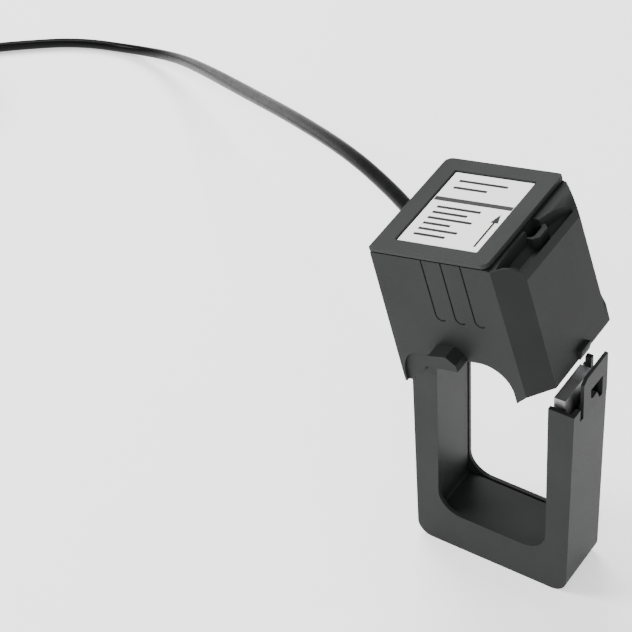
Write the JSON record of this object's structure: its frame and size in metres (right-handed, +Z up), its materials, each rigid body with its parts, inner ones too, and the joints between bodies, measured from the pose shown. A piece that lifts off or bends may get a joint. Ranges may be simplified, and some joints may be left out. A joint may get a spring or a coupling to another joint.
{
  "type": "split-core current transformer",
  "caption": "Hinged split-core current transformer: a tall U-shaped lower housing, a box-shaped upper housing with a label recess, and an attached cable with bare lead ends.",
  "frame": {"origin": "centre of the lower housing's foot, on the surface it stands on", "axes": "+Z up, +X from the hinge leg to the latch leg, +Y from front to back through the conductor window"},
  "size_m": [0.4118, 0.1902, 0.1506],
  "materials": {
    "housing_plastic": "fine grain",
    "cover_plastic": "fine grain",
    "core_steel": "ground",
    "spring_steel": "satin",
    "pad_rubber": "matte",
    "label_film": "smooth",
    "bobbin_plastic": "smooth",
    "winding_copper": "enamelled",
    "wrap_tape": "smooth",
    "board_laminate": "smooth",
    "splice_tin": "tinned",
    "cable_black": "glossy jacket",
    "tie_nylon": "smooth",
    "lead_brown": "smooth",
    "lead_blue": "smooth"
  },
  "bodies": {
    "lower": {"lower_housing": "housing_plastic", "lower_back_cover": "housing_plastic", "lower_core": "core_steel", "core_spring": "spring_steel", "core_pad_left": "pad_rubber", "core_pad_right": "pad_rubber", "hinge_pins": "spring_steel", "cable_far": "cable_black", "cable_coil": "cable_black", "coil_tie": "tie_nylon", "cable_end": "cable_black", "lead_brown": "lead_brown", "lead_blue": "lead_blue", "ferrule_brown": "splice_tin", "ferrule_blue": "splice_tin"},
    "upper": {"upper_housing": "housing_plastic", "upper_cover": "cover_plastic", "label": "label_film", "upper_core": "core_steel", "bobbin": "bobbin_plastic", "secondary_winding": "winding_copper", "winding_wrap": "wrap_tape", "terminal_board": "board_laminate", "surge_diode": "cable_black", "crimp_splice_a": "splice_tin", "crimp_splice_b": "splice_tin", "winding_lead_a": "winding_copper", "winding_lead_b": "winding_copper", "cable_clamp": "bobbin_plastic", "cable_gland": "pad_rubber", "cable_near": "cable_black"}
  },
  "joints": [
    {"name": "hinge", "type": "hinge", "parent": "lower", "child": "upper", "pos_m": [-0.02578, 0, 0.08538], "axis": [0, -1, 0], "range_deg": [-14.3, 60]}
  ]
}
